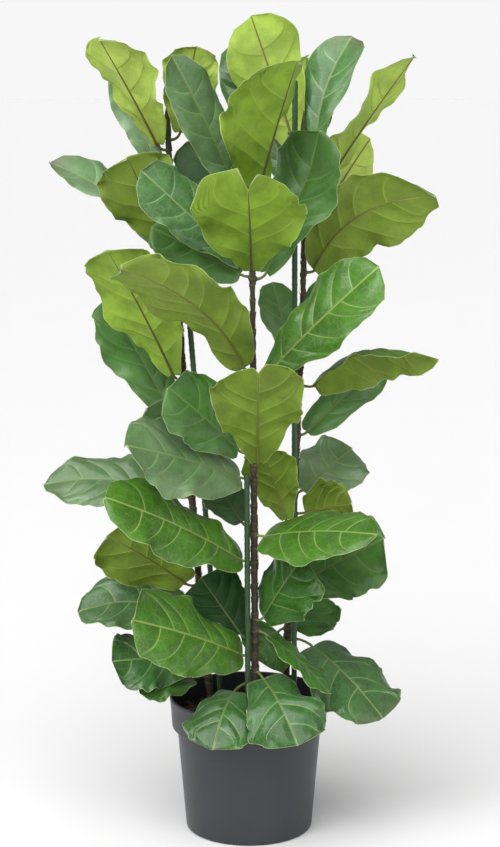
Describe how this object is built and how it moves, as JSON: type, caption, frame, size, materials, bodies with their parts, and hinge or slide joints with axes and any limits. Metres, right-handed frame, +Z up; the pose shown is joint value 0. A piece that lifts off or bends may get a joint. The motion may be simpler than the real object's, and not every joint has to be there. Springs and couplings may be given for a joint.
{
  "type": "potted fiddle leaf fig",
  "caption": "Bushy potted fiddle leaf fig: staked stems of broad waved leathery leaves standing in potting soil in a round tapered nursery pot.",
  "frame": {"origin": "middle of the pot's flat underside, at floor level", "axes": "+Z up along the pot's axis; -Y towards the viewer, the plant's fuller front; +X to the viewer's right"},
  "size_m": [0.5897, 0.3696, 1.2184],
  "materials": {
    "pot_plastic": "satin dark grey moulded plastic",
    "potting_soil": "crumbly dark peat mix",
    "stem_bark": "brown bark with leaf scars",
    "stake_coating": "dark green coated stake",
    "leaf_young": "soft yellow-green leaf",
    "leaf_grown": "satin mid-green leaf",
    "leaf_old": "satin dark green leaf"
  },
  "bodies": {
    "root": {"pot": "pot_plastic", "soil": "potting_soil", "stem_front": "stem_bark", "stake_front": "stake_coating", "stem_right": "stem_bark", "stake_right": "stake_coating", "stem_left": "stem_bark", "stake_left": "stake_coating", "leaf_low_front_left": "leaf_old", "leaf_low_front_right": "leaf_old", "leaf_low_bright_left": "leaf_grown", "leaf_low_right": "leaf_old", "leaf_low_edge_right": "leaf_old", "leaf_low_strip_left": "leaf_old", "leaf_low_dark_left": "leaf_old", "leaf_low_grey_left": "leaf_old", "leaf_low_shade_centre": "leaf_old", "leaf_low_shade_right": "leaf_old", "leaf_low_shade_middle": "leaf_old", "leaf_lower_bright_left": "leaf_grown", "leaf_lower_bright_right": "leaf_grown", "leaf_lower_centre_right": "leaf_old", "leaf_lower_dark_right": "leaf_old", "leaf_lower_olive_left": "leaf_grown", "leaf_lower_grey_left": "leaf_old", "leaf_lower_olive_centre": "leaf_grown", "leaf_lower_olive_right": "leaf_grown", "leaf_lower_grey_right": "leaf_old", "leaf_mid_front": "leaf_grown", "leaf_mid_grey_left": "leaf_old", "leaf_mid_small_left": "leaf_old", "leaf_mid_folded_left": "leaf_old", "leaf_mid_olive_left": "leaf_young", "leaf_mid_bright_right": "leaf_grown", "leaf_mid_level_right": "leaf_grown", "leaf_mid_dark_right": "leaf_old", "leaf_mid_long_left": "leaf_young", "leaf_mid_dark_left": "leaf_old", "leaf_mid_back_centre": "leaf_old", "leaf_mid_back_right": "leaf_old", "leaf_mid_shade_left": "leaf_old", "leaf_upper_heart": "leaf_young", "leaf_upper_right": "leaf_grown", "leaf_upper_dark_fold": "leaf_old", "leaf_upper_left": "leaf_old", "leaf_upper_olive_left": "leaf_grown", "leaf_upper_pale_left": "leaf_grown", "leaf_upper_dark_left": "leaf_old", "leaf_upper_pale_right": "leaf_young", "leaf_upper_shade_left": "leaf_old", "leaf_crown_centre": "leaf_young", "leaf_crown_left": "leaf_young", "leaf_crown_pale_left": "leaf_old", "leaf_crown_dark_left": "leaf_old", "leaf_crown_back_left": "leaf_young", "leaf_crown_top": "leaf_young", "leaf_crown_blue_right": "leaf_grown", "leaf_crown_narrow_right": "leaf_young", "leaf_crown_light_right": "leaf_young", "leaf_crown_sliver": "leaf_grown"}
  },
  "joints": []
}
